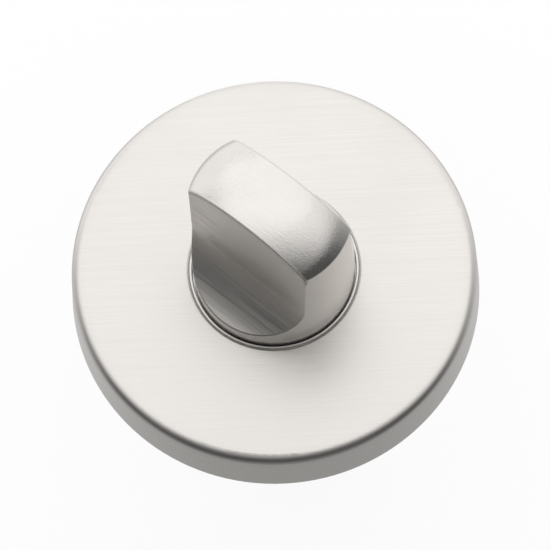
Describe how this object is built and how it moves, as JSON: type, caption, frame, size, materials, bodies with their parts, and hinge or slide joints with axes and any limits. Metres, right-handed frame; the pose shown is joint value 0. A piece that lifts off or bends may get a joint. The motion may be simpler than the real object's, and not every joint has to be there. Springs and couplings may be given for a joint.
{
  "type": "bathroom thumb turn",
  "caption": "Round rose with a satin thumb turn whose scooped grip rotates a square spindle to lock and unlock a bathroom door.",
  "frame": {"origin": "on the turn's axis, in the plane of the door's face that the rose's back lies on", "axes": "+Z along the turn's axis, out of the door towards the grip; +X level along the door, through the two bolts; +Y up the door"},
  "size_m": [0.052, 0.052, 0.0927],
  "materials": {
    "satin_stainless": "satin, fine straight brush lines",
    "zinc_plated_steel": "bright zinc plating",
    "spring_steel": "oiled, dark",
    "nickel_plated_brass": "bright nickel plating",
    "grey_nylon": "glass-filled, moulded"
  },
  "bodies": {
    "rose": {"rose_cover": "satin_stainless", "fixing_plate": "zinc_plated_steel", "support_ring": "grey_nylon", "plate_rivets": "zinc_plated_steel", "cover_clips": "spring_steel", "neck_bush": "nickel_plated_brass", "wave_washer": "spring_steel", "through_bolts": "zinc_plated_steel", "wood_screws": "zinc_plated_steel"},
    "turn": {"thumb_turn": "satin_stainless", "thrust_washer": "zinc_plated_steel", "stop_disc": "zinc_plated_steel", "circlip": "spring_steel", "spindle": "zinc_plated_steel", "spindle_pin": "spring_steel"}
  },
  "joints": [
    {"name": "turn_spin", "type": "hinge", "parent": "rose", "child": "turn", "pos_m": [0, 0, 0], "axis": [0, 0, 1], "range_deg": [-45, 45]}
  ]
}
